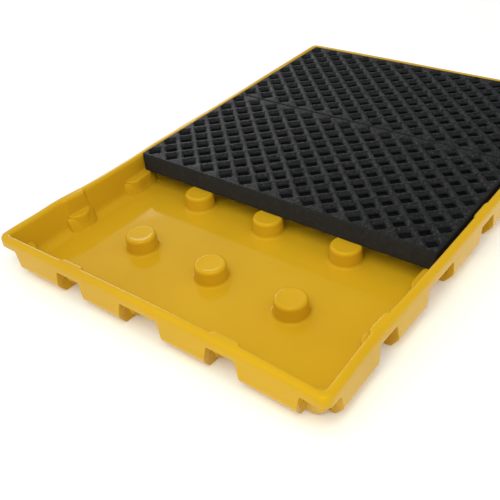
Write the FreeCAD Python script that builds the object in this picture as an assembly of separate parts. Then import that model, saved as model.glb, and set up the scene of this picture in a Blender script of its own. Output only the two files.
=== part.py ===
import FreeCAD, Part

import math
import os

from FreeCAD import Vector as V

# Spill containment pallet: one moulded sump tray with integral posts, and drop-in
# grating panels that lie on the posts. Millimetres, +Z up, origin on the ground under
# the centre of the plan. The long side runs along Y; the open bay is at the -Y end.

# ---- driving dimensions -------------------------------------------------------------
TRAY_W = 1245.0            # across, X (49 in)
TRAY_L = 1854.0            # long side, Y (73 in)
DECK_TOP = 139.7           # top of the grating above the ground (5.5 in)
RIM_TOP = 133.1            # top of the tray's rim
RIM_BAND = 28.0            # width of the flat rim
RIM_EDGE = 6.0             # rounded-over outer edge of the rim
CORNER_R = 26.0            # plan radius of the outer corners
SKIRT_BOTTOM = 97.2        # underside of the rim where a wall recess lies below it
FOOT_EDGE = 41.1           # height where the foot blocks begin to draw in
FOOT_DRAW = 30.0           # how far they draw in at the ground
FLOOR_TOP = 12.1           # sump floor
FLOOR_UNDER = 4.0          # underside of the floor plate
WALL_FOOT = 49.0           # inset of the inner wall at the floor; clears the panels' lower edge
WALL = 6.0                 # wall thickness around a recess
POST_TOP = 68.0            # tops of the support posts
POST_R_BASE = 55.0
POST_R_TOP = 51.0
COLS = [-299.0, 0.0, 299.0]                    # post columns, X
ROWS = [-609.0, -310.0, 0.0, 310.0, 609.0]     # post rows, Y
WALL_ROWS = [-609.0, -310.0, -14.0, 310.0, 609.0]   # half posts in the long walls
NARROW = 84.0              # width of a narrow wall recess under the rim
WIDE = 143.0               # width of a wide wall recess under the rim
CORNER_END = 80.6          # front and rear walls: first foot starts here
CORNER_SIDE = 60.0         # long walls: first foot starts here
LUG_W = 64.0               # rim lugs above the narrow half posts
LUG_REACH = 9.0
PILASTER = 39.4            # inset of the pilaster below a lug, just clear of the panels
PANEL_SEAT = 39.2          # inset of the walls at the level the panels rest at

GRATE_W = 1165.0           # grating panel, X
GRATE_D = 588.0            # grating panel, Y
GRATE_BOTTOM = 68.4        # 0.4 clear of the posts it lies on
GRATE_PLATE = 10.0         # top plate
GRATE_RIM = 8.0            # thickness of the panel's outer skirt
GRATE_RIB = 8.0            # thickness of the diagonal ribs
PITCH_X = 85.0             # holes in one row
PITCH_Y = 42.5             # row to row
HOLE = 39.0                # across the flats of a diamond hole
HOLE_R = 5.0               # its corner radius
ROWS_N = 13
COLS_N = 14
PANEL_Y = {"grate_middle": 0.0, "grate_rear": 592.0}   # panel centres

HX, HY = TRAY_W / 2, TRAY_L / 2


def rrect(inset, r, z):
    """Closed wire: plan rectangle of the tray drawn in by inset, corner radius r."""
    x, y = HX - inset, HY - inset
    k = r * (1 - math.sqrt(0.5))
    pts = []
    edges = []
    corners = [(x, y, 1, 1), (-x, y, -1, 1), (-x, -y, -1, -1), (x, -y, 1, -1)]
    arcs = []
    for cx, cy, sx, sy in corners:
        a = V(cx, cy - sy * r, z)
        m = V(cx - sx * k, cy - sy * k, z)
        b = V(cx - sx * r, cy, z)
        if sx * sy < 0:
            a, b = b, a
        arcs.append((a, m, b))
    for i, (a, m, b) in enumerate(arcs):
        edges.append(Part.Arc(a, m, b).toShape())
        nxt = arcs[(i + 1) % 4][0]
        edges.append(Part.LineSegment(b, nxt).toShape())
    return Part.Wire(edges)


def loft(*wires):
    return Part.makeLoft(list(wires), True, True)


def poly_prism(points, direction):
    w = Part.makePolygon([V(*p) for p in points] + [V(*points[0])])
    return Part.Face(w).extrude(V(*direction))


def wall_frames():
    """Every wall recess: origin on the wall's outer face, inward and along directions, kind."""
    out = []
    for sx in (-1, 1):
        for y in WALL_ROWS:
            kind = "wide" if abs(y) == 310.0 else "narrow"
            c = y
            if abs(y) == 609.0:
                c = math.copysign(HY - 300.3, y)
            elif abs(y) == 310.0:
                c = math.copysign(HY - 596.5, y)
            out.append((V(sx * HX, c, 0), V(-sx, 0, 0), V(0, 1, 0), kind))
    for sy in (-1, 1):
        for x in COLS:
            kind = "wide" if x == 0.0 else "narrow"
            c = 0.0 if x == 0.0 else math.copysign(HX - 327.8, x)
            out.append((V(c, sy * HY, 0), V(0, -sy, 0), V(1, 0, 0), kind))
    return out


def tapered(o, n, t, z0, z1, half0, half1, reach0, reach1, back=0.0, cut=0.42):
    """Tapered block against a wall: half widths and inward reach at z0 and at z1,
    with its two inner corners cut back."""
    ws = []
    for z, h, r in ((z0, half0, reach0), (z1, half1, reach1)):
        c = h * cut
        pts = [o + n * back - t * h, o + n * (r - c) - t * h, o + n * r - t * (h - c),
               o + n * r + t * (h - c), o + n * (r - c) + t * h, o + n * back + t * h]
        pts = [V(p.x, p.y, z) for p in pts]
        ws.append(Part.makePolygon(pts + [pts[0]]))
    return Part.makeLoft(ws, True, True)


# ---- sump tray ----------------------------------------------------------------------
outer = loft(rrect(FOOT_DRAW, CORNER_R - 4, 0), rrect(0, CORNER_R, FOOT_EDGE))
outer = outer.fuse(loft(rrect(0, CORNER_R, FOOT_EDGE), rrect(0, CORNER_R, RIM_TOP - RIM_EDGE)))
outer = outer.fuse(loft(rrect(0, CORNER_R, RIM_TOP - RIM_EDGE), rrect(RIM_EDGE * 0.8, CORNER_R - 3, RIM_TOP)))

basin = loft(rrect(WALL_FOOT, 46, FLOOR_TOP), rrect(RIM_BAND, 14, RIM_TOP + 0.01))
# above the post tops the corners are tighter, so that a square panel corner drops in
seat = loft(rrect(PANEL_SEAT, 3, POST_TOP - 0.1), rrect(RIM_BAND, 12, RIM_TOP + 0.01))
tray = outer.cut([basin, seat])

# half posts in the walls, and the lugs and pilasters above the narrow ones
adds = []
for o, n, t, kind in wall_frames():
    wide = kind == "wide"
    h0, h1 = (86.0, 72.0) if wide else (57.0, 46.0)
    adds.append(tapered(o, n, t, FLOOR_TOP - 2, POST_TOP, h0, h1, 92.0, 76.0, back=30.0))
    if not wide:
        a = o - t * (LUG_W / 2)
        prof = [(RIM_BAND - 6, RIM_TOP), (RIM_BAND + LUG_REACH, RIM_TOP),
                (PILASTER, RIM_TOP - 20), (PILASTER, POST_TOP - 1), (30.0, POST_TOP - 1)]
        pts = [a + n * d for d, z in prof]
        pts = [(p.x, p.y, z) for p, (d, z) in zip(pts, prof)]
        adds.append(poly_prism(pts, tuple(t * LUG_W)))
# quarter posts in the corners
for sx in (-1, 1):
    for sy in (-1, 1):
        p = Part.makeCone(62.0, 54.0, POST_TOP - FLOOR_TOP + 2, V(sx * (HX - 40), sy * (HY - 40), FLOOR_TOP - 2))
        adds.append(p)
tray = tray.fuse([a.common(outer) for a in adds])

# recesses in the outside of the walls, open below
cuts = []
for o, n, t, kind in wall_frames():
    half = (WIDE if kind == "wide" else NARROW) / 2
    cuts.append(tapered(o, n, t, -1, SKIRT_BOTTOM, half + 19, half, 44, 27, back=-5.0, cut=0.12))
    cuts.append(tapered(o, n, t, -1, POST_TOP - WALL, half + 4, half - 4, 84, 70, back=-5.0, cut=0.42))
for sx in (-1, 1):
    for sy in (-1, 1):
        ex, ey = CORNER_END, CORNER_SIDE
        ws = []
        for z, g in ((-1.0, 16.0), (SKIRT_BOTTOM, 0.0)):
            x0, x1 = HX + 5, HX - ex - g
            y0, y1 = HY + 5, HY - ey - g
            d = 44.0 if z < 0 else 27.0
            pts = [(x0, y0), (x1, y0), (x1, HY - d), (HX - d - 26, HY - d), (HX - d, HY - d - 26),
                   (HX - d, y1), (x0, y1)]
            pts = [V(sx * a, sy * b, z) for a, b in pts]
            ws.append(Part.makePolygon(pts + [pts[0]]))
        cuts.append(Part.makeLoft(ws, True, True))
        cuts.append(Part.makeCone(56.0, 47.0, POST_TOP - WALL + 1, V(sx * (HX - 40), sy * (HY - 40), -1)))
tray = tray.cut(cuts)

# the floor plate stands clear of the ground inside the ring of feet
under = loft(rrect(WALL_FOOT + 8, 40, -1), rrect(WALL_FOOT + 8, 40, FLOOR_UNDER))
tray = tray.cut(under)
seats = [Part.makeCylinder(POST_R_BASE, FLOOR_TOP + 2, V(x, y, -1)) for x in COLS for y in ROWS]
tray = tray.cut(seats)
tray = tray.removeSplitter()

# ---- support posts, standing through the floor down to the ground -------------------
profile = [(0, 0), (POST_R_BASE, 0), (POST_R_BASE, FLOOR_TOP), (POST_R_TOP, POST_TOP - 7),
           (POST_R_TOP - 3, POST_TOP - 2.5), (POST_R_TOP - 9, POST_TOP), (0, POST_TOP)]
posts = []
for x in COLS:
    for y in ROWS:
        w = Part.makePolygon([V(x + r, y, z) for r, z in profile] + [V(x, y, 0)])
        posts.append(Part.Face(w).revolve(V(x, y, 0), V(0, 0, 1), 360))
posts = Part.makeCompound(posts)


# ---- grating panels -----------------------------------------------------------------
def diamond(cx, cy, z, side, r):
    """Square wire standing on its corner, corners rounded."""
    h = side / math.sqrt(2)
    tips = [V(cx + h, cy, z), V(cx, cy + h, z), V(cx - h, cy, z), V(cx, cy - h, z)]
    edges, cuts_ = [], []
    for i, p in enumerate(tips):
        a, b = tips[i - 1], tips[(i + 1) % 4]
        ua, ub = (a - p).normalize(), (b - p).normalize()
        c = V(cx, cy, z)
        d = (c - p).normalize()
        cuts_.append((p + ua * r, p + d * (r * (math.sqrt(2) - 1)), p + ub * r))
    for i in range(4):
        a, m, b = cuts_[i]
        edges.append(Part.Arc(a, m, b).toShape())
        edges.append(Part.LineSegment(b, cuts_[(i + 1) % 4][0]).toShape())
    return Part.Wire(edges)


def rect(x0, x1, y0, y1, z):
    return Part.makePolygon([V(x0, y0, z), V(x1, y0, z), V(x1, y1, z), V(x0, y1, z), V(x0, y0, z)])


def centres(yc):
    out = []
    for j in range(ROWS_N):
        n = COLS_N if j % 2 == 0 else COLS_N - 1
        for i in range(n):
            out.append(((i - (n - 1) / 2) * PITCH_X, yc + (j - (ROWS_N - 1) / 2) * PITCH_Y))
    return out


def panel(yc):
    x, y = GRATE_W / 2, GRATE_D / 2

    def cell(a, b):
        # a pocket between the ribs, smaller where the panel's own skirt is near
        edge = min(x - abs(a), y - abs(b - yc)) - GRATE_RIM
        return min(PITCH_X / math.sqrt(2) - GRATE_RIB, edge * math.sqrt(2))

    plate = Part.Face([rect(-x, x, yc - y, yc + y, DECK_TOP - GRATE_PLATE)]
                      + [diamond(a, b, DECK_TOP - GRATE_PLATE, HOLE, HOLE_R) for a, b in centres(yc)])
    plate.validate()
    plate = plate.extrude(V(0, 0, GRATE_PLATE))
    ribs = Part.Face([rect(-x, x, yc - y, yc + y, GRATE_BOTTOM)]
                     + [diamond(a, b, GRATE_BOTTOM, cell(a, b), 4.0) for a, b in centres(yc)])
    ribs.validate()
    ribs = ribs.extrude(V(0, 0, DECK_TOP - GRATE_PLATE - GRATE_BOTTOM))
    return plate.fuse(ribs)


os.makedirs("parts", exist_ok=True)
nodes = {"sump_tray": tray, "support_posts": posts}
one = panel(0.0)
for name, yc in PANEL_Y.items():
    nodes[name] = one.translated(V(0, yc, 0))
for name, shape in nodes.items():
    solids = shape.Solids
    out = solids[0] if len(solids) == 1 else Part.makeCompound(solids)
    out.exportStep("parts/" + name + ".step")
    b = out.BoundBox
    print(name, "solids", len(solids), "valid", out.isValid(), "litres", round(sum(s.Volume for s in solids) / 1e6, 2),
          "box", [round(v, 1) for v in (b.XMin, b.XMax, b.YMin, b.YMax, b.ZMin, b.ZMax)])
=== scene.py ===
import bpy, bmesh, math
import numpy as np
from mathutils import Vector, Matrix, noise
from mathutils.geometry import delaunay_2d_cdt


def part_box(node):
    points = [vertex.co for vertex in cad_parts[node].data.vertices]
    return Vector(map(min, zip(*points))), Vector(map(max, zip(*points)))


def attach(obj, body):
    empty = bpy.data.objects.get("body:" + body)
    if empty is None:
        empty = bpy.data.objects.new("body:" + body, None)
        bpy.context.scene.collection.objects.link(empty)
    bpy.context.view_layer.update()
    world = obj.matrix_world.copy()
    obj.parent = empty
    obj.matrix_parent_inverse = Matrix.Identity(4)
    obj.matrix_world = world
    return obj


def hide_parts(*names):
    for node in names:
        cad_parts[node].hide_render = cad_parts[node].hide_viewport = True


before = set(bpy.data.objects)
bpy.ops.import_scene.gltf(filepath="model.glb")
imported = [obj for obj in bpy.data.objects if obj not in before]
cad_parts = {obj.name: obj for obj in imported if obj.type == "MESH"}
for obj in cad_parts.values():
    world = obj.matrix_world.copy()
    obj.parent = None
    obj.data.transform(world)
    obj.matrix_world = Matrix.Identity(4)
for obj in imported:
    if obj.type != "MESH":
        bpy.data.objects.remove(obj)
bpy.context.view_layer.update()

MM = 0.001
lo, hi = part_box("sump_tray")
HX, HY = 622.5, 927.0                 # half width and half length of the tray, mm
RIM, FLOOR, UNDER = 133.1, 12.1, 4.0
SKIRT, FOOT, DRAW = 97.2, 41.1, 30.0
POST_TOP = 68.0
COLS = (-299.0, 0.0, 299.0)
ROWS = (-609.0, -310.0, 0.0, 310.0, 609.0)
D_IN = 124.0                          # inset where the wall moulding meets the flat floor


def smooth(t):
    t = np.clip(t, 0.0, 1.0)
    return t * t * (3 - 2 * t)


def wav(x, y):
    """Slow unevenness of the moulded floor, mm."""
    return (0.20 * math.sin(x / 113.0 + 1.3) * math.sin(y / 137.0 + 0.4)
            + 0.10 * math.sin(x / 71.0 - y / 87.0 + 2.0)
            + 0.50 * noise.noise(Vector((x / 340.0, y / 340.0, 3.7))))


def floor_z(x, y):
    """Sump floor: the flat floor height plus its slow unevenness."""
    return FLOOR + wav(x, y)


# ------------------------------------------------------------------------------------
# perimeter moulding: one closed strip that runs floor - wall - rim - skirt - feet - underside
# ------------------------------------------------------------------------------------
SIDES = [
    (Vector((-HX, -HY)), Vector((1, 0)), Vector((0, 1)), 2 * HX),
    (Vector((HX, -HY)), Vector((0, 1)), Vector((-1, 0)), 2 * HY),
    (Vector((HX, HY)), Vector((-1, 0)), Vector((0, -1)), 2 * HX),
    (Vector((-HX, HY)), Vector((0, -1)), Vector((1, 0)), 2 * HY),
]
Y_FRONT = [300.3, 596.5, 913.0, 2 * HY - 596.5, 2 * HY - 300.3]


def features(k):
    """[(centre along the side, kind, half width of the recess, lug reach)], corner end"""
    if k in (0, 2):
        return [(327.8, "n", 47.0, 10.0), (HX, "w", 71.5, 0.0), (2 * HX - 327.8, "n", 47.0, 10.0)], 80.6
    f = []
    for i, y in enumerate(Y_FRONT):
        a = y if k == 1 else 2 * HY - y
        wide = i in (1, 3)
        f.append((a, "w" if wide else "n", 72.0 if wide else 42.5, 0.0 if wide else (10.0 if i < 2 else 5.0)))
    return sorted(f), 60.0


def rad(d):
    return float(np.interp(d, [0, 10, 28, 36, 46, 90, D_IN], [26, 20, 16, 20, 38, 56, 60]))


def plan(k, a, d):
    """Plan point on side k, a along it from its first corner, d in from the outline."""
    o, t, n, L = SIDES[k]
    r = rad(d)
    ac = max(62.0, d + r + 8)
    e = a if a < L / 2 else L - a
    if e >= ac:
        al, off = e, d
    else:
        f = (ac - e) / ac
        straight = ac - d - r
        s = f * (straight + r * math.pi / 4)
        if s <= straight:
            al, off = ac - s, d
        else:
            th = (s - straight) / r
            al, off = d + r - r * math.sin(th), d + r - r * math.cos(th)
    al = al if a < L / 2 else L - al
    p = o + t * al + n * off
    return p.x, p.y


def bez(p0, p1, p2, n):
    """n points of the rounded corner p1 between p0 and p2, ends included."""
    out = []
    for i in range(n):
        u = i / (n - 1)
        out.append(((1 - u) ** 2 * p0[0] + 2 * u * (1 - u) * p1[0] + u * u * p2[0],
                    (1 - u) ** 2 * p0[1] + 2 * u * (1 - u) * p1[1] + u * u * p2[1]))
    return out


def toward(p, q, l, most=0.499):
    v = (q[0] - p[0], q[1] - p[1])
    m = math.hypot(*v) or 1.0
    l = min(l, m * most)
    return (p[0] + v[0] / m * l, p[1] + v[1] / m * l)


def seg(p, q, n):
    """n points strictly between p and q"""
    return [(p[0] + (q[0] - p[0]) * i / (n + 1), p[1] + (q[1] - p[1]) * i / (n + 1)) for i in range(1, n + 1)]


def smax(a, b, k):
    h = max(k - abs(a - b), 0.0) / k
    return max(a, b) + h * h * k / 4


def wall(z):
    """Inset of the inner wall at height z."""
    return 28.0 + 16.0 * (RIM - z) / (RIM - FLOOR)


def reach(k, kind, u):
    """Inward reach of a half post, at its top and at its foot, u off its centre line."""
    w0 = 0.0 if kind == "n" else 22.0
    v = max(0.0, abs(u) - w0)
    c = 16.0 if k == 3 else 24.0
    t = c + math.sqrt(51.0 ** 2 - v * v) if v < 51 else 0.0
    b = c + math.sqrt(57.0 ** 2 - v * v) if v < 57 else 0.0
    return t, b


def station(k, a):
    feats, corner_end = features(k)
    L = SIDES[k][3]
    e = min(a, L - a)
    rt = rb = lug = 0.0
    w_out = 1.0 - float(smooth((e - corner_end + 2.5) / 5.0))
    for c, kind, half, lg in feats:
        u = a - c
        if abs(u) < 110:
            t, b = reach(k, kind, u)
            rt, rb = max(rt, t), max(rb, b)
            lug = max(lug, lg * float(smooth((50.0 - abs(u)) / 16.0)))
        w_out = max(w_out, 1.0 - float(smooth((abs(u) - half + 2.5) / 5.0)))
    rt = smax(rt, wall(POST_TOP), 5.0)
    rb = smax(rb, wall(FLOOR), 9.0)

    def face(z):
        return wall(z) + min(lug, 39.4 - wall(z)) if z >= POST_TOP - 0.5 else wall(z)

    w = float(smooth((rt - wall(POST_TOP) - 0.4) / 5.0))
    zb, zc = POST_TOP + 8 * (1 - w), POST_TOP - 8 * (1 - w)
    E = (D_IN, FLOOR)
    Dp = (rb, FLOOR)
    C = (wall(zc) * (1 - w) + max(rt, wall(zc)) * w, zc)
    B = (face(zb), zb)
    T = (28.0 + lug, RIM)
    pts = [E]
    ft = 34 * (1 - w) + 13 * w
    pts += bez(toward(Dp, E, ft, 0.7), Dp, toward(Dp, C, ft, 0.7), 9)
    lc = 4 * (1 - w) + w * min(7.0, max(1.0, (C[0] - B[0]) * 0.45))
    c0, c1 = toward(C, Dp, lc, 0.28), toward(C, B, lc)
    pts += seg(pts[-1], c0, 2)
    pts += bez(c0, C, c1, 6)
    b0, b1 = toward(B, C, 4 * (1 - w) + w * min(5.0, max(0.8, (C[0] - B[0]) * 0.4))), toward(B, T, 5)
    pts += seg(c1, b0, 2)
    pts += bez(b0, B, b1, 4)
    t0, t1 = toward(T, B, 12), (T[0] - 10, RIM)
    pts += seg(b1, t0, 4)
    pts += bez(t0, T, t1, 6)
    o0, o1 = (15.0, RIM), (0.5, RIM - 14.5)
    pts += seg(t1, o0, 2)
    pts += bez(o0, (0.7, RIM), o1, 9)
    pts += seg(o1, (0.0, SKIRT + 3), 2)
    n_top = len(pts)

    # foot profile
    FE, G = (0.0, FOOT), (DRAW, 0.0)
    f = [(0.0, SKIRT + 3)] + seg((0.0, SKIRT + 3), (0.0, FOOT + 9), 8)
    f += bez((0.0, FOOT + 9), FE, toward(FE, G, 9), 6)
    f += seg(toward(FE, G, 9), toward(G, FE, 8), 4)
    f += bez(toward(G, FE, 8), G, (DRAW + 8, 0.0), 5) + [(50.0, 0.0), (64.0, 0.0)]
    # recess profile
    dh, dhb = max(31.5, rt - 6.0), max(42.0, rb + 7.0 * w)
    K = 62.0
    L0, L1, M, N, Q = (0.0, SKIRT), (26.0, SKIRT), (31.0, K), (dh, K), (dhb, UNDER)
    r = bez((0.0, SKIRT + 3), L0, (3.0, SKIRT), 3)
    r += seg((3.0, SKIRT), (21.0, SKIRT), 3)
    r += bez((21.0, SKIRT), L1, toward(L1, M, 5), 4)
    m0, m1 = toward(M, L1, 5), toward(M, N, 4)
    r += seg(toward(L1, M, 5), m0, 2) + bez(m0, M, m1, 3)
    n0, n1 = toward(N, M, 5), toward(N, Q, 5)
    r += seg(m1, n0, 2) + bez(n0, N, n1, 3)
    q0 = toward(Q, N, 3)
    r += seg(n1, q0, 2) + bez(q0, Q, (dhb + 2, UNDER), 2) + [(dhb + 5, UNDER), (dhb + 9, UNDER)]
    assert len(f) == len(r), (len(f), len(r))
    low = [(p[0] * (1 - w_out) + q[0] * w_out, p[1] * (1 - w_out) + q[1] * w_out, p[1]) for p, q in zip(f, r)]
    end = low[-1][0]
    lift = UNDER * w_out
    low += [(end + 1.0, 0.8 * (1 - w_out) + lift, 0.0), (end + 1.6, (UNDER - 0.6) * (1 - w_out) + lift, 0.0),
            (end + 3.0, UNDER, 0.0), (D_IN, UNDER, 0.0)]
    out = [(d, z, None) for d, z in pts] + low
    return out, n_top


def taper_shift(k, a, z):
    if z is None or z >= SKIRT:
        return 0.0
    tau = 9.6 * (SKIRT - z) / (SKIRT - FOOT)
    feats, ce = features(k)
    L = SIDES[k][3]
    s = 0.0
    edges = [(ce, 1.0), (L - ce, -1.0)]
    for c, kind, half, lg in feats:
        edges += [(c - half, -1.0), (c + half, 1.0)]
    for e, sg in edges:
        s += sg * tau * max(0.0, 1 - abs(a - e) / 36.0)
    return s


def stations(k):
    feats, ce = features(k)
    L = SIDES[k][3]
    keep, loose = [], []
    edges = [ce, L - ce] + [c + q * half for c, kind, half, lg in feats for q in (-1, 1)]
    for e in edges:
        keep += [e + q for q in (-3.4, -2.4, -1.5, -0.5, 0.5, 1.5, 2.4, 3.4)]
        loose += [e + q for q in (-36, -24, -14, -8, -5, 5, 8, 14, 24, 36)]
    for c, kind, half, lg in feats:
        w0 = 0.0 if kind == "n" else 22.0
        for q in (-1, 1):
            keep += [c + q * (w0 + v) for v in (34.5, 37.0, 39.2, 41.0, 42.4, 43.6, 44.6, 45.5, 46.3, 47.2, 48.4, 50.0, 52.0, 54.4)]
            loose += [c + q * v for v in np.arange(0, w0 + 62, 3.4)]
    loose += list(np.arange(0, 84, 3.4)) + list(L - np.arange(3.4, 84, 3.4)) + list(np.linspace(84, L - 84, int((L - 168) / 13)))
    keep = sorted(v for v in keep if 0.6 < v < L - 0.6)
    out = [0.0]
    for v in keep:
        if v - out[-1] > 0.45:
            out.append(v)
    ka = np.array(out)
    for v in loose:
        if 0.6 < v < L - 0.6 and np.min(np.abs(ka - v)) > 1.5:
            out.append(v)
            ka = np.append(ka, v)
    return sorted(out)


LEFT_DEV = ([0, 55, 96, 140, 181, 222, 267, 318, 366, 416, 466, 567, 618, 669, 720, 778, 840, 900, 1020, 1281, 1854],
            [0, -3, -3, -2, -3, -5, -4, 2, 7, 9, 10, 10, 9, 7, 4, 5, 6, 3, 6, 6, 0])
FRONT_DEV = ([0, 47, 300, 602, 954, 1215, 1245], [0, -1.5, 4, 7, 9, -0.5, 0])
RIGHT_DEV = ([0, 60, 180, 281, 380, 600, 900, 1854], [0, 0, 6, 9, 6, 1, 0, 0])


def warp(x, y, z):
    """Sag and bow of the rim of a hot-formed tray."""
    X, Y = x + HX, y + HY
    deck = float(smooth((Y - 560) / 90.0))
    hz = (0.15 + 0.85 * min(1.0, max(0.0, z / RIM))) * (1 - deck) + deck * float(smooth((z - 66) / 64.0))
    dx = dy = 0.0
    f = 1 - float(smooth((X - 60) / 90.0))
    dx += np.interp(Y, *LEFT_DEV) * f * hz
    f = 1 - float(smooth((2 * HX - X - 60) / 90.0))
    dx -= np.interp(Y, *RIGHT_DEV) * f * hz
    f = 1 - float(smooth((Y - 60) / 90.0))
    dy += np.interp(X, *FRONT_DEV) * f * hz
    rim = float(smooth((z - 90) / 40.0))
    dz = rim * (0.9 * math.sin(x / 170.0 + 0.5) * math.sin(y / 210.0) - 0.6)
    return x + dx, y + dy, z + dz


def mesh_object(name, verts, faces, body, smooth_angle=38.0):
    me = bpy.data.meshes.new(name)
    me.from_pydata([(v[0] * MM, v[1] * MM, v[2] * MM) for v in verts], [], faces)
    bm = bmesh.new()
    bm.from_mesh(me)
    bmesh.ops.remove_doubles(bm, verts=bm.verts, dist=0.00002)
    bmesh.ops.dissolve_degenerate(bm, edges=bm.edges, dist=0.00001)
    bmesh.ops.recalc_face_normals(bm, faces=bm.faces)
    bm.to_mesh(me)
    bm.free()
    for p in me.polygons:
        p.use_smooth = True
    me.set_sharp_from_angle(angle=math.radians(smooth_angle))
    ob = bpy.data.objects.new(name, me)
    bpy.context.scene.collection.objects.link(ob)
    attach(ob, body)
    return ob


def tray_mesh():
    verts, faces = [], []
    loops = []
    for k in range(4):
        for a in stations(k):
            prof, n_top = station(k, a)
            col = []
            for i, (d, z, zf) in enumerate(prof):
                x, y = plan(k, a + taper_shift(k, a, zf), d)
                if zf is None and z <= POST_TOP and z < 60:
                    z = z + wav(x, y) * float(1 - smooth((z - FLOOR) / 30.0))
                col.append(len(verts))
                verts.append((x, y, z))
            loops.append(col)
    n = len(loops)
    m = len(loops[0])
    for i in range(n):
        a, b = loops[i], loops[(i + 1) % n]
        for j in range(m - 1):
            faces.append((a[j], a[j + 1], b[j + 1], b[j]))
    inner_floor = [c[0] for c in loops]
    inner_under = [c[-1] for c in loops]

    # free-standing posts, standing in the floor, hollow from below
    seg_n = 56
    crown = [(68.0, 0.0), (64.5, 0.1), (61.5, 0.5), (59.0, 1.3), (57.0, 2.5), (55.4, 4.1), (54.2, 6.2), (53.5, 8.8), (53.2, 11.8),
             (53.1, 15.0), (53.0, 18.2), (52.5, 19.6), (52.6, 23.0), (52.4, 26.6), (51.9, 28.0), (52.0, 31.5), (51.9, 35.2), (51.5, 36.6), (51.6, 40.5),
             (51.4, 44.0), (51.0, 47.0), (50.2, 49.7), (48.8, 52.2), (46.8, 54.2), (44.4, 55.5), (41.8, 56.0), (39.0, 55.9), (35.0, 55.3), (30.0, 54.9), (22.0, 54.7), (11.0, 54.7)]
    hollow = [(62.0, 4.0), (61.0, 0.6), (59.5, 0.0), (52.0, 0.0), (50.6, 0.8), (49.5, 6.0), (47.5, 30.0), (46.0, 54.0), (41.5, 59.0), (37.0, 61.6), (30.0, 62.0), (14.0, 62.0)]
    post_loops, pad_loops = [], []
    for cx in COLS:
        for cy in ROWS:
            rot = (cx * 0.013 + cy * 0.007)
            for prof, up in ((crown, True), (hollow, False)):
                rings = []
                for r, z in prof:
                    ring = []
                    for i in range(seg_n):
                        t = 2 * math.pi * i / seg_n + rot
                        x, y = cx + r * math.cos(t), cy + r * math.sin(t)
                        zz = floor_z(x, y) * (1 - min(1, z / 30)) + (FLOOR) * min(1, z / 30) + z if up else z
                        ring.append(len(verts))
                        verts.append((x, y, zz))
                    rings.append(ring)
                for q in range(len(rings) - 1):
                    for i in range(seg_n):
                        j = (i + 1) % seg_n
                        faces.append((rings[q][i], rings[q + 1][i], rings[q + 1][j], rings[q][j]))
                c = len(verts)
                zc = (FLOOR + prof[-1][1]) if up else prof[-1][1]
                verts.append((cx, cy, zc))
                for i in range(seg_n):
                    faces.append((rings[-1][i], c, rings[-1][(i + 1) % seg_n]))
                (post_loops if up else pad_loops).append(((cx, cy, prof[0][0]), rings[0]))

    # flat floor and underside, welded to the walls and to the posts
    for outer, inner, zf in ((inner_floor, post_loops, floor_z), (inner_under, pad_loops, lambda x, y: UNDER)):
        pts2, ids = [], []
        edges = []
        loops_ = [outer] + [l for _, l in inner]
        ring_of = {v: q for q, (_, l) in enumerate(inner) for v in l}
        for l in loops_:
            s = len(pts2)
            for v in l:
                pts2.append(Vector((verts[v][0], verts[v][1])))
                ids.append(v)
            edges += [(s + i, s + (i + 1) % len(l)) for i in range(len(l))]
        lim_x, lim_y = HX - D_IN - 8, HY - D_IN - 8
        step = 22.0 if zf is floor_z else 80.0
        gx = np.linspace(-lim_x, lim_x, int(2 * lim_x / step))
        gy = np.linspace(-lim_y, lim_y, int(2 * lim_y / step))
        for i, x in enumerate(gx):
            for y in gy:
                if any(math.hypot(x - c[0][0], y - c[0][1]) < c[0][2] + 7 for c in inner):
                    continue
                if (lim_x - abs(x)) < 70 and (lim_y - abs(y)) < 70 and math.hypot(70 - lim_x + abs(x), 70 - lim_y + abs(y)) > 60:
                    continue
                pts2.append(Vector((x, y)))
                ids.append(None)
        vs, es, fs, ov, oe, of_ = delaunay_2d_cdt(pts2, edges, [], 1, 1e-4)
        remap = {}
        for i, v in enumerate(vs):
            src = [o for o in ov[i] if o < len(ids)]
            got = next((ids[o] for o in src if ids[o] is not None), None)
            if got is None:
                got = len(verts)
                verts.append((v.x, v.y, zf(v.x, v.y)))
            remap[i] = got
        for f in fs:
            cx = sum(vs[i].x for i in f) / len(f)
            cy = sum(vs[i].y for i in f) / len(f)
            if any(math.hypot(cx - c[0][0], cy - c[0][1]) < c[0][2] - 2 for c in inner):
                continue
            t = tuple(remap[i] for i in f)
            if len({ring_of.get(i) for i in t}) == 1 and ring_of.get(t[0]) is not None:
                continue        # inside a post's own outline
            faces.append(t)
    verts = [warp(*v) for v in verts]
    return mesh_object("tray_moulding", verts, faces, "tray")


tray = tray_mesh()
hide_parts("sump_tray", "support_posts")


# quarter posts that fill the inner corners of the tray, moulded into the walls
def corner_posts():
    verts, faces = [], []
    prof = [(78.0, -1.5), (70.0, 0.6), (66.0, 3.0), (63.0, 8.0), (60.5, 20.0), (57.5, 38.0), (56.0, 48.0), (54.4, 51.6), (51.6, 54.4), (47.5, 55.8), (42.0, 56.1), (30.0, 56.1), (14.0, 56.1), (4.0, 56.1)]
    for sx in (-1, 1):
        for sy in (-1, 1):
            rings = []
            for r, z in prof:
                ring = []
                for i in range(31):
                    t = math.radians(-4 + 98 * i / 30)
                    x = sx * (HX - 40 - r * math.cos(t))
                    y = sy * (HY - 40 - r * math.sin(t))
                    ring.append(len(verts))
                    verts.append((x, y, FLOOR + z + (wav(x, y) if z < 6 else 0)))
                rings.append(ring)
            for q in range(len(rings) - 1):
                for i in range(30):
                    faces.append((rings[q][i], rings[q + 1][i], rings[q + 1][i + 1], rings[q][i + 1]))
    verts = [warp(*v) for v in verts]
    return mesh_object("corner_quarter_posts", verts, faces, "tray")


corners = corner_posts()


# ------------------------------------------------------------------------------------
# grating panels
# ------------------------------------------------------------------------------------
PX, PY = 85.0, 42.5
NR, NC = 13, 14


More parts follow.
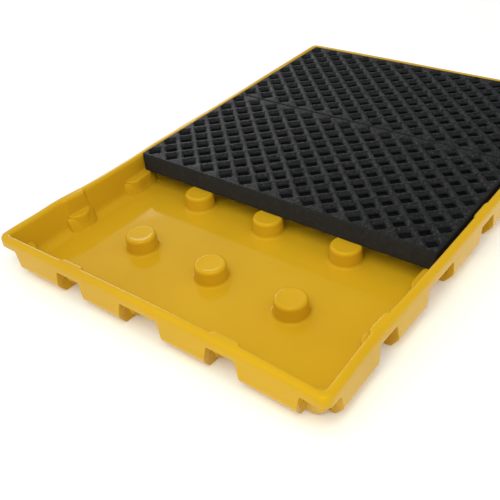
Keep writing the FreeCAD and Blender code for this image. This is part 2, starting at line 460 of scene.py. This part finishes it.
def grate_mesh(name, node, seed):
    glo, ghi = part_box(node)
    x0, x1, y0, y1 = glo.x * 1000, ghi.x * 1000, glo.y * 1000, ghi.y * 1000
    zb, zt = glo.z * 1000, ghi.z * 1000
    cxp, cyp = (x0 + x1) / 2, (y0 + y1) / 2
    rng = np.random.RandomState(seed)
    prm = [0.0, 0.09, 0.27, 0.5, 0.73, 0.91]
    ring = []
    for q in range(4):
        c0 = [(1, 0), (0, 1), (-1, 0), (0, -1)][q]
        c1 = [(0, 1), (-1, 0), (0, -1), (1, 0)][q]
        for s in prm:
            ring.append((c0[0] * (1 - s) + c1[0] * s, c0[1] * (1 - s) + c1[1] * s, s == 0.0))
    K = len(ring)
    verts, faces = [], []

    def add_ring(cx, cy, h, z, soft, jit=0.0):
        ids = []
        for x, y, corner in ring:
            k = (1 - soft) if corner else 1.0
            jx, jy = (rng.uniform(-jit, jit), rng.uniform(-jit, jit)) if jit else (0, 0)
            ids.append(len(verts))
            verts.append((cx + x * h * k + jx, cy + y * h * k + jy, z))
        return ids

    def bridge(a, b):
        for i in range(K):
            j = (i + 1) % K
            faces.append((a[i], a[j], b[j], b[i]))

    for j in range(-1, NR + 1):
        n = NC if j % 2 == 0 else NC - 1
        for i in range(-1, n + 1):
            cx = cxp + (i - (n - 1) / 2) * PX
            cy = cyp + (j - (NR - 1) / 2) * PY
            if not (x0 - 43 < cx < x1 + 43 and y0 - 43 < cy < y1 + 43):
                continue
            if 0 <= j < NR and 0 <= i < n:
                edge = min(cx - x0, x1 - cx, cy - y0, y1 - cy)
                h = 26.0 + rng.uniform(-1.2, 0.6)
                pocket = min(36.8, edge - 8.0) if edge > 36 else edge - 2.2
                pocket = max(pocket, h + 0.3)
                rs = [add_ring(cx, cy, 42.5, zt, 0),
                      add_ring(cx, cy, 38.6, zt - 0.25, 0.02, 0.5),
                      add_ring(cx, cy, h + 8.2, zt - 1.1, 0.04, 0.7),
                      add_ring(cx, cy, h + 4.4, zt - 3.0, 0.06, 0.7),
                      add_ring(cx, cy, h + 1.2, zt - 5.4, 0.08, 0.5),
                      add_ring(cx, cy, h, zt - 8.0, 0.08),
                      add_ring(cx, cy, h - 0.6, zt - 14.0, 0.08),
                      add_ring(cx, cy, pocket, zt - 15.5, 0.06),
                      add_ring(cx, cy, pocket, zb + 1.2, 0.06),
                      add_ring(cx, cy, pocket + 0.3, zb, 0.06),
                      add_ring(cx, cy, 42.5, zb, 0)]
                for a, b in zip(rs, rs[1:]):
                    bridge(a, b)
            else:
                for z in (zt, zb):
                    a = add_ring(cx, cy, 42.5, z, 0)
                    b = add_ring(cx, cy, 22.0, z, 0)
                    bridge(a, b)
                    c = len(verts)
                    verts.append((cx, cy, z))
                    for q in range(K):
                        faces.append((b[q], b[(q + 1) % K], c))
    me = bpy.data.meshes.new(name)
    me.from_pydata([(v[0] * MM, v[1] * MM, v[2] * MM) for v in verts], [], faces)
    bm = bmesh.new()
    bm.from_mesh(me)
    bmesh.ops.remove_doubles(bm, verts=bm.verts, dist=0.00003)
    ins = 3.0
    for co, no in (((x0 + ins, 0, 0), (-1, 0, 0)), ((x1 - ins, 0, 0), (1, 0, 0)), ((0, y0 + ins, 0), (0, -1, 0)), ((0, y1 - ins, 0), (0, 1, 0))):
        bmesh.ops.bisect_plane(bm, geom=bm.verts[:] + bm.edges[:] + bm.faces[:], dist=1e-6,
                               plane_co=Vector(co) * MM, plane_no=Vector(no), clear_outer=True)
    # unevenness of the pressed, recycled plastic
    for v in bm.verts:
        p = v.co * 1000
        if p.z > zt - 10:
            e = min(p.x - x0, x1 - p.x, p.y - y0, y1 - p.y)
            k = min(1.0, max(0.0, (e - 3) / 14))
            q = Vector((p.x, p.y, seed * 31.0))
            dz = (0.55 * noise.noise(q / 19.0) + 0.35 * noise.noise(q / 7.0)) * k - 0.25 * k - 0.45 * (1 - k)
            v.co.z += dz * MM
            v.co.x += 0.5 * noise.noise(q / 9.0 + Vector((7, 0, 0))) * k * MM
            v.co.y += 0.5 * noise.noise(q / 9.0 + Vector((0, 9, 0))) * k * MM
    # outer skirt of the panel, with its rounded edges
    prof = [(6.0, zt - 0.62), (3.4, zt - 0.5), (1.7, zt - 0.9), (0.6, zt - 2.0), (0.1, zt - 3.8), (0.0, zt - 8), (0.0, zt - 22), (0.0, (zt + zb) / 2), (0.15, zb + 22), (0.3, zb + 6), (0.6, zb + 1.6), (1.6, zb + 0.3), (3.4, zb + 0.02), (7.0, zb + 0.1)]
    path = []
    r = 4.5
    for cx, cy, t0 in ((x1 - r, y1 - r, 0), (x0 + r, y1 - r, 90), (x0 + r, y0 + r, 180), (x1 - r, y0 + r, 270)):
        for i in range(6):
            t = math.radians(t0 + 90 * i / 5)
            path.append((cx, cy, math.cos(t), math.sin(t)))
    dense = []
    for i, p in enumerate(path):
        q = path[(i + 1) % len(path)]
        dense.append(p)
        pa, pb = Vector((p[0] + r * p[2], p[1] + r * p[3])), Vector((q[0] + r * q[2], q[1] + r * q[3]))
        m = int((pb - pa).length / 24)
        for s in range(1, m):
            u = s / m
            dense.append((p[0] + (q[0] - p[0]) * u, p[1] + (q[1] - p[1]) * u, p[2], p[3]))
    cols = []
    for cx, cy, nx, ny in dense:
        col = []
        for d, z in prof:
            rr = r - d
            x, y = cx + nx * rr, cy + ny * rr
            bow = 0.6 * noise.noise(Vector((x / 120.0, y / 120.0, z / 60.0 + seed)))
            col.append(bm.verts.new(((x + nx * (bow - 0.3)) * MM, (y + ny * (bow - 0.3)) * MM, z * MM)))
        cols.append(col)
    for i in range(len(cols)):
        a, b = cols[i], cols[(i + 1) % len(cols)]
        for j in range(len(prof) - 1):
            bm.faces.new((a[j], a[j + 1], b[j + 1], b[j]))
    bmesh.ops.dissolve_degenerate(bm, edges=bm.edges, dist=0.00001)
    bmesh.ops.recalc_face_normals(bm, faces=bm.faces)
    bm.to_mesh(me)
    bm.free()
    for p in me.polygons:
        p.use_smooth = True
    me.set_sharp_from_angle(angle=math.radians(42))
    ob = bpy.data.objects.new(name, me)
    bpy.context.scene.collection.objects.link(ob)
    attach(ob, node)
    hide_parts(node)
    return ob


grates = [grate_mesh("grating_middle", "grate_middle", 3), grate_mesh("grating_rear", "grate_rear", 8)]


# ------------------------------------------------------------------------------------
# materials
# ------------------------------------------------------------------------------------
def nodes_of(name):
    m = bpy.data.materials.new(name)
    m.use_nodes = True
    nt = m.node_tree
    nt.nodes.clear()
    out = nt.nodes.new("ShaderNodeOutputMaterial")
    bs = nt.nodes.new("ShaderNodeBsdfPrincipled")
    nt.links.new(bs.outputs["BSDF"], out.inputs["Surface"])
    return m, nt, bs


def noise_node(nt, co, scale, detail=3.0, rough=0.5):
    n = nt.nodes.new("ShaderNodeTexNoise")
    n.inputs["Scale"].default_value = scale
    n.inputs["Detail"].default_value = detail
    n.inputs["Roughness"].default_value = rough
    nt.links.new(co, n.inputs["Vector"])
    return n


def ramp(nt, fac, stops):
    r = nt.nodes.new("ShaderNodeValToRGB")
    e = r.color_ramp.elements
    e[0].position, e[0].color = stops[0]
    e[1].position, e[1].color = stops[-1]
    for p, c in stops[1:-1]:
        x = e.new(p)
        x.color = c
    nt.links.new(fac, r.inputs["Fac"])
    return r


def yellow():
    m, nt, bs = nodes_of("yellow_polyethylene")
    tc = nt.nodes.new("ShaderNodeTexCoord")
    co = tc.outputs["Object"]
    big = noise_node(nt, co, 2.6, 3, 0.5)
    mid = noise_node(nt, co, 21.0, 3, 0.55)
    fine = noise_node(nt, co, 420.0, 2, 0.5)
    col = ramp(nt, big.outputs["Fac"], [(0.30, (0.568, 0.316, 0.0118, 1)), (0.5, (0.592, 0.334, 0.0120, 1)), (0.72, (0.616, 0.351, 0.0122, 1))])
    nt.links.new(col.outputs["Color"], bs.inputs["Base Color"])
    rr = nt.nodes.new("ShaderNodeMapRange")
    nt.links.new(mid.outputs["Fac"], rr.inputs["Value"])
    rr.inputs["From Min"].default_value, rr.inputs["From Max"].default_value = 0.3, 0.7
    rr.inputs["To Min"].default_value, rr.inputs["To Max"].default_value = 0.05, 0.10
    nt.links.new(rr.outputs["Result"], bs.inputs["Roughness"])
    bs.inputs["IOR"].default_value = 1.5
    bs.inputs["Specular IOR Level"].default_value = 0.24
    bs.inputs["Specular Tint"].default_value = (1.0, 0.86, 0.10, 1)
    b1 = nt.nodes.new("ShaderNodeBump")
    b1.inputs["Strength"].default_value = 0.06
    b1.inputs["Distance"].default_value = 0.0006
    nt.links.new(fine.outputs["Fac"], b1.inputs["Height"])
    b2 = nt.nodes.new("ShaderNodeBump")
    b2.inputs["Strength"].default_value = 0.12
    b2.inputs["Distance"].default_value = 0.0010
    nt.links.new(mid.outputs["Fac"], b2.inputs["Height"])
    nt.links.new(b1.outputs["Normal"], b2.inputs["Normal"])
    nt.links.new(b2.outputs["Normal"], bs.inputs["Normal"])
    return m


# charcoal plastic; with side set it makes a lighter, greyer copy with a weaker sheen, painted light that sets how
# the grate's steep faces look
def charcoal(side=False):
    m, nt, bs = nodes_of("charcoal_side_painted_light" if side else "recycled_charcoal_plastic")
    tc = nt.nodes.new("ShaderNodeTexCoord")
    co = tc.outputs["Object"]
    big = noise_node(nt, co, 14.0, 5, 0.6)
    spot = noise_node(nt, co, 70.0 if side else 110.0, 5, 0.65)
    fine = noise_node(nt, co, 520.0, 3, 0.6)
    if side:
        # side copy: colour lifted and kept grey, painted shading for the side faces and hole walls
        stops = [(0.34, (0.0165, 0.0180, 0.0215, 1)), (0.55, (0.0205, 0.0222, 0.0265, 1)), (0.72, (0.027, 0.029, 0.0345, 1))]
    else:
        # random mottling of the recycled plastic; its brightest specks also stand in for glints on the ribs, painted
        # highlight
        stops = [(0.36, (0.0022, 0.0023, 0.0026, 1)), (0.53, (0.0052, 0.0054, 0.0059, 1)), (0.70, (0.042, 0.043, 0.047, 1))]
    col = ramp(nt, spot.outputs["Fac"], stops)
    nt.links.new(col.outputs["Color"], bs.inputs["Base Color"])
    rr = nt.nodes.new("ShaderNodeMapRange")
    nt.links.new(big.outputs["Fac"], rr.inputs["Value"])
    rr.inputs["From Min"].default_value, rr.inputs["From Max"].default_value = 0.3, 0.7
    rr.inputs["To Min"].default_value, rr.inputs["To Max"].default_value = (0.55, 0.70) if side else (0.30, 0.55)
    nt.links.new(rr.outputs["Result"], bs.inputs["Roughness"])
    bs.inputs["IOR"].default_value = 1.5
    bs.inputs["Specular IOR Level"].default_value = 0.12 if side else 0.15
    b1 = nt.nodes.new("ShaderNodeBump")
    b1.inputs["Strength"].default_value = 0.20 if side else 0.55
    b1.inputs["Distance"].default_value = 0.0010
    nt.links.new(fine.outputs["Fac"], b1.inputs["Height"])
    b2 = nt.nodes.new("ShaderNodeBump")
    b2.inputs["Strength"].default_value = 0.25 if side else 0.90
    b2.inputs["Distance"].default_value = 0.0045
    nt.links.new(spot.outputs["Fac"], b2.inputs["Height"])
    nt.links.new(b1.outputs["Normal"], b2.inputs["Normal"])
    nt.links.new(b2.outputs["Normal"], bs.inputs["Normal"])
    return m


m_yellow, m_black, m_side_painted_light = yellow(), charcoal(), charcoal(True)
for ob, mat, slot in ((tray, m_yellow, "tray"), (corners, m_yellow, "tray"), (grates[0], m_black, "grating"), (grates[1], m_black, "grating")):
    ob.data.materials.clear()
    ob.data.materials.append(mat)
    # steep faces below the top get the side copy, whose colour is painted light
    if slot == "grating":
        ob.data.materials.append(m_side_painted_light)
        for p in ob.data.polygons:
            if abs(p.normal.z) < 0.55 and p.center.z < 0.1375:
                p.material_index = 1

# ------------------------------------------------------------------------------------
# stage, light and camera
# ------------------------------------------------------------------------------------
sc = bpy.context.scene
fl = bpy.data.meshes.new("floor")
fl.from_pydata([(-14, -14, 0), (14, -14, 0), (14, 14, 0), (-14, 14, 0)], [], [(0, 1, 2, 3)])
floor = bpy.data.objects.new("floor", fl)
sc.collection.objects.link(floor)
m, nt, bs = nodes_of("pale_floor")
bs.inputs["Base Color"].default_value = (0.93, 0.93, 0.93, 1)
bs.inputs["Emission Color"].default_value = (1.0, 1.0, 1.0, 1)
bs.inputs["Emission Strength"].default_value = 0.12
bs.inputs["Roughness"].default_value = 0.9
bs.inputs["Specular IOR Level"].default_value = 0.1
fl.materials.append(m)

w = bpy.data.worlds.new("studio")
sc.world = w
w.use_nodes = True
# the wall behind the object is in shade, so the deck fades to the right
wt = w.node_tree
wc = wt.nodes.new("ShaderNodeTexCoord")
wd = wt.nodes.new("ShaderNodeVectorMath")
wd.operation = "DOT_PRODUCT"
wd.inputs[1].default_value = (0.05, 0.88, 0.47)
wt.links.new(wc.outputs["Generated"], wd.inputs[0])
wm = wt.nodes.new("ShaderNodeMapRange")
wm.interpolation_type = "SMOOTHSTEP"
wm.inputs["From Min"].default_value, wm.inputs["From Max"].default_value = 0.70, 0.96
wm.inputs["To Min"].default_value, wm.inputs["To Max"].default_value = 1.0, 0.25
wt.links.new(wd.outputs["Value"], wm.inputs["Value"])
wt.links.new(wm.outputs["Result"], wt.nodes["Background"].inputs["Color"])
w.node_tree.nodes["Background"].inputs["Strength"].default_value = 0.92


def area(name, pos, target, size, power, size_y=None, color=(1.0, 1.0, 1.0)):
    l = bpy.data.lights.new(name, "AREA")
    l.energy = power
    l.size = size
    l.color = color
    if size_y:
        l.shape = "RECTANGLE"
        l.size_y = size_y
    o = bpy.data.objects.new(name, l)
    sc.collection.objects.link(o)
    o.location = pos
    o.rotation_euler = (Vector(target) - Vector(pos)).to_track_quat("-Z", "Y").to_euler()
    return o


area("overhead", (0.80, -1.15, 2.6), (0.3, -0.6, 0), 1.8, 18, color=(0.94, 1.0, 0.72))
area("front_right", (0.75, -2.3, 2.7), (0.0, -0.55, 0), 1.2, 21, color=(0.94, 1.0, 0.72))
area("back_left", (-2.9, 1.9, 1.3), (-0.35, -0.1, 0), 1.5, 16)

f_px, pitch, yaw, roll = 707.72, math.radians(36.1764), math.radians(42.1190), math.radians(6.1127)
cam_pos = Vector((1829.4 - HX, -919.9 - HY, 1378.8 - 6.3)) * MM
fw = Vector((-math.sin(yaw) * math.cos(pitch), math.cos(yaw) * math.cos(pitch), -math.sin(pitch)))
r0 = Vector((math.cos(yaw), math.sin(yaw), 0))
d0 = fw.cross(r0)
ROLL_SIGN = 1.0
rr_ = r0 * math.cos(roll) + d0 * math.sin(roll) * ROLL_SIGN
dd_ = d0 * math.cos(roll) - r0 * math.sin(roll) * ROLL_SIGN
cd = bpy.data.cameras.new("camera")
cd.sensor_width = 36.0
cd.sensor_fit = "HORIZONTAL"
cd.lens = f_px / 500.0 * 36.0
cd.shift_x = 0.04
cd.clip_end = 100
cam = bpy.data.objects.new("camera", cd)
sc.collection.objects.link(cam)
mw = Matrix.Identity(4)
for i in range(3):
    mw[i][0], mw[i][1], mw[i][2], mw[i][3] = rr_[i], -dd_[i], -fw[i], cam_pos[i]
cam.matrix_world = mw
sc.camera = cam
sc.view_settings.view_transform = "Standard"
